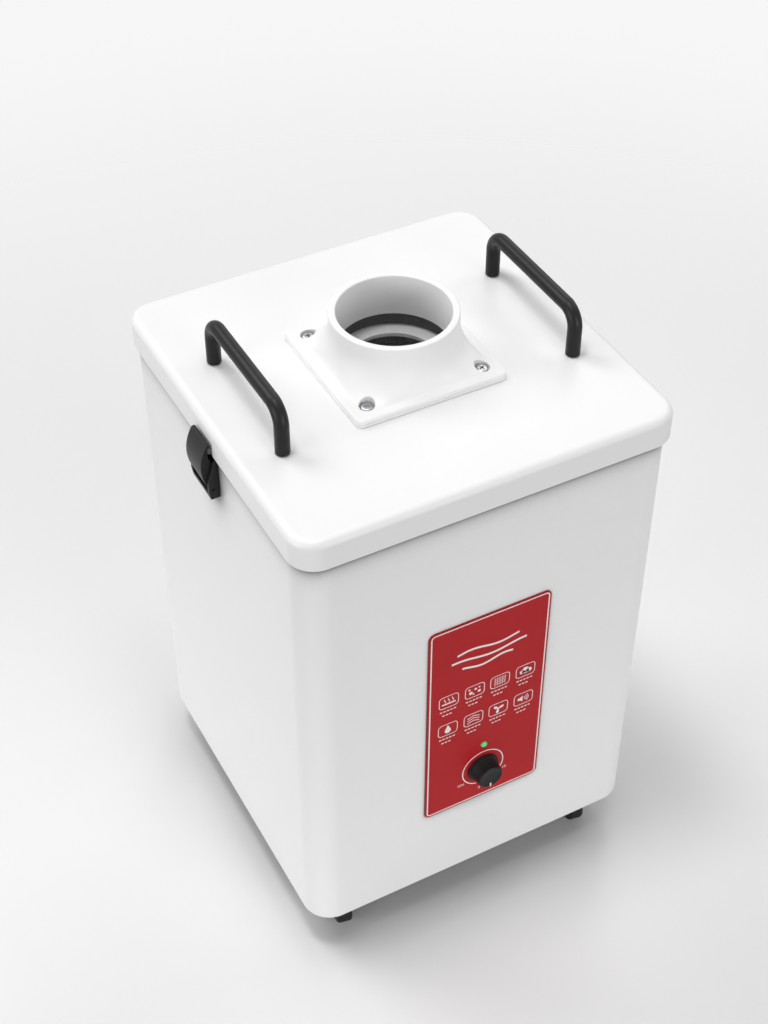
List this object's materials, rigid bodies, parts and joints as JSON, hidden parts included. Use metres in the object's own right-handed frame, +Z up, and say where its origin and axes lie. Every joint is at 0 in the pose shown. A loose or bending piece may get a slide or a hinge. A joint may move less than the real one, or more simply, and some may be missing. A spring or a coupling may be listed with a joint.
{
  "type": "fume extractor",
  "caption": "Box-shaped fume extractor on small casters, with a lift-off lid, hose collar, handles, side latches, stacked filters, blower and a red control panel.",
  "frame": {"origin": "on the floor, under the middle of the whole part's width and depth", "axes": "+Z up; the control panel faces -Y; +X is to the right when looking at the panel"},
  "size_m": [0.2814, 0.2766, 0.4387],
  "materials": {
    "white_powder_coat": "satin white powder coat",
    "black_coated_metal": "satin black coat",
    "black_plastic": "fine-grained black",
    "red_panel": "satin printed film on a stiff backing",
    "bright_steel": "bright",
    "chrome": "polished",
    "zinc_plated_sheet": "zinc plated",
    "dark_rubber": "matt",
    "grey_foam": "open foam",
    "caster_tyre": "matt",
    "green_lens": "clear gloss",
    "circuit_board": "lacquered",
    "filter_fleece": "fleece",
    "filter_cartridge": "pleated medium in a board frame",
    "grey_moulding": "moulded",
    "supply_case": "plain"
  },
  "bodies": {
    "cabinet": {"cabinet_shell": "white_powder_coat", "base_tray": "white_powder_coat", "left_latch_base": "black_plastic", "right_latch_base": "black_plastic", "left_latch_pin": "bright_steel", "right_latch_pin": "bright_steel", "control_panel": "red_panel", "potentiometer": "zinc_plated_sheet", "status_lamp": "green_lens", "control_board": "circuit_board", "filter_shelf": "zinc_plated_sheet", "filter_seal": "grey_foam", "main_filter": "filter_cartridge", "pre_filter": "filter_fleece", "motor_bracket": "zinc_plated_sheet", "fan_motor": "black_coated_metal", "blower_housing": "grey_moulding", "blower_cover": "grey_moulding", "exhaust_grille": "black_plastic", "power_inlet": "black_plastic", "power_supply": "supply_case", "front_left_caster_plate": "zinc_plated_sheet", "front_right_caster_plate": "zinc_plated_sheet", "rear_left_caster_plate": "zinc_plated_sheet", "rear_right_caster_plate": "zinc_plated_sheet"},
    "lid": {"lid_shell": "white_powder_coat", "lid_gasket": "dark_rubber", "collar_backing_plate": "zinc_plated_sheet", "hose_collar": "white_powder_coat", "inlet_gasket": "dark_rubber", "collar_screw_1": "bright_steel", "collar_screw_2": "bright_steel", "collar_screw_3": "bright_steel", "collar_screw_4": "bright_steel", "left_handle": "black_coated_metal", "right_handle": "black_coated_metal", "left_handle_screw_1": "bright_steel", "left_handle_screw_2": "bright_steel", "right_handle_screw_1": "bright_steel", "right_handle_screw_2": "bright_steel", "left_latch_keeper": "white_powder_coat", "right_latch_keeper": "white_powder_coat"},
    "left_latch": {"left_latch_lever": "black_plastic"},
    "right_latch": {"right_latch_lever": "black_plastic"},
    "speed_knob": {"control_knob": "black_plastic", "knob_spindle": "bright_steel"},
    "fan": {"fan_impeller": "grey_moulding", "fan_shaft": "bright_steel"},
    "front_left_swivel": {"front_left_caster_fork": "chrome", "front_left_caster_axle": "bright_steel"},
    "front_left_wheel": {"front_left_caster_wheel": "caster_tyre"},
    "front_right_swivel": {"front_right_caster_fork": "chrome", "front_right_caster_axle": "bright_steel"},
    "front_right_wheel": {"front_right_caster_wheel": "caster_tyre"},
    "rear_left_swivel": {"rear_left_caster_fork": "chrome", "rear_left_caster_axle": "bright_steel"},
    "rear_left_wheel": {"rear_left_caster_wheel": "caster_tyre"},
    "rear_right_swivel": {"rear_right_caster_fork": "chrome", "rear_right_caster_axle": "bright_steel"},
    "rear_right_wheel": {"rear_right_caster_wheel": "caster_tyre"}
  },
  "joints": [
    {"name": "lid_lift", "type": "slide", "parent": "cabinet", "child": "lid", "axis": [0, 0, 1], "range_m": [0, 0.044]},
    {"name": "left_latch_swing", "type": "hinge", "parent": "cabinet", "child": "left_latch", "pos_m": [-0.1345, 0.00405, 0.3565], "axis": [0, -1, 0], "range_deg": [0, 90]},
    {"name": "right_latch_swing", "type": "hinge", "parent": "cabinet", "child": "right_latch", "pos_m": [0.1345, 0.00405, 0.3565], "axis": [0, 1, 0], "range_deg": [0, 90]},
    {"name": "knob_turn", "type": "hinge", "parent": "cabinet", "child": "speed_knob", "pos_m": [0, -0.12595, 0.1361], "axis": [0, 1, 0], "range_deg": [0, 300]},
    {"name": "fan_spin", "type": "hinge", "parent": "cabinet", "child": "fan", "pos_m": [-0.03, -0.01098, 0.0859], "axis": [0, 0, 1], "continuous": true},
    {"name": "front_left_caster_swivel", "type": "hinge", "parent": "cabinet", "child": "front_left_swivel", "pos_m": [-0.0985, -0.09445, 0.0275], "axis": [0, 0, 1], "continuous": true},
    {"name": "front_left_wheel_roll", "type": "hinge", "parent": "front_left_swivel", "child": "front_left_wheel", "pos_m": [-0.10041, -0.10427, 0.0125], "axis": [0.9816, -0.1908, 0], "continuous": true},
    {"name": "front_right_caster_swivel", "type": "hinge", "parent": "cabinet", "child": "front_right_swivel", "pos_m": [0.0985, -0.09445, 0.0275], "axis": [0, 0, 1], "continuous": true},
    {"name": "front_right_wheel_roll", "type": "hinge", "parent": "front_right_swivel", "child": "front_right_wheel", "pos_m": [0.09659, -0.10427, 0.0125], "axis": [0.9816, -0.1908, 0], "continuous": true},
    {"name": "rear_left_caster_swivel", "type": "hinge", "parent": "cabinet", "child": "rear_left_swivel", "pos_m": [-0.0985, 0.10255, 0.0275], "axis": [0, 0, 1], "continuous": true},
    {"name": "rear_left_wheel_roll", "type": "hinge", "parent": "rear_left_swivel", "child": "rear_left_wheel", "pos_m": [-0.10041, 0.09273, 0.0125], "axis": [0.9816, -0.1908, 0], "continuous": true},
    {"name": "rear_right_caster_swivel", "type": "hinge", "parent": "cabinet", "child": "rear_right_swivel", "pos_m": [0.0985, 0.10255, 0.0275], "axis": [0, 0, 1], "continuous": true},
    {"name": "rear_right_wheel_roll", "type": "hinge", "parent": "rear_right_swivel", "child": "rear_right_wheel", "pos_m": [0.09659, 0.09273, 0.0125], "axis": [0.9816, -0.1908, 0], "continuous": true}
  ],
  "couplings": [
    {"joint": "left_latch_swing", "follows": "lid_lift", "rad_per_m": 35.5},
    {"joint": "right_latch_swing", "follows": "lid_lift", "rad_per_m": 35.5}
  ]
}
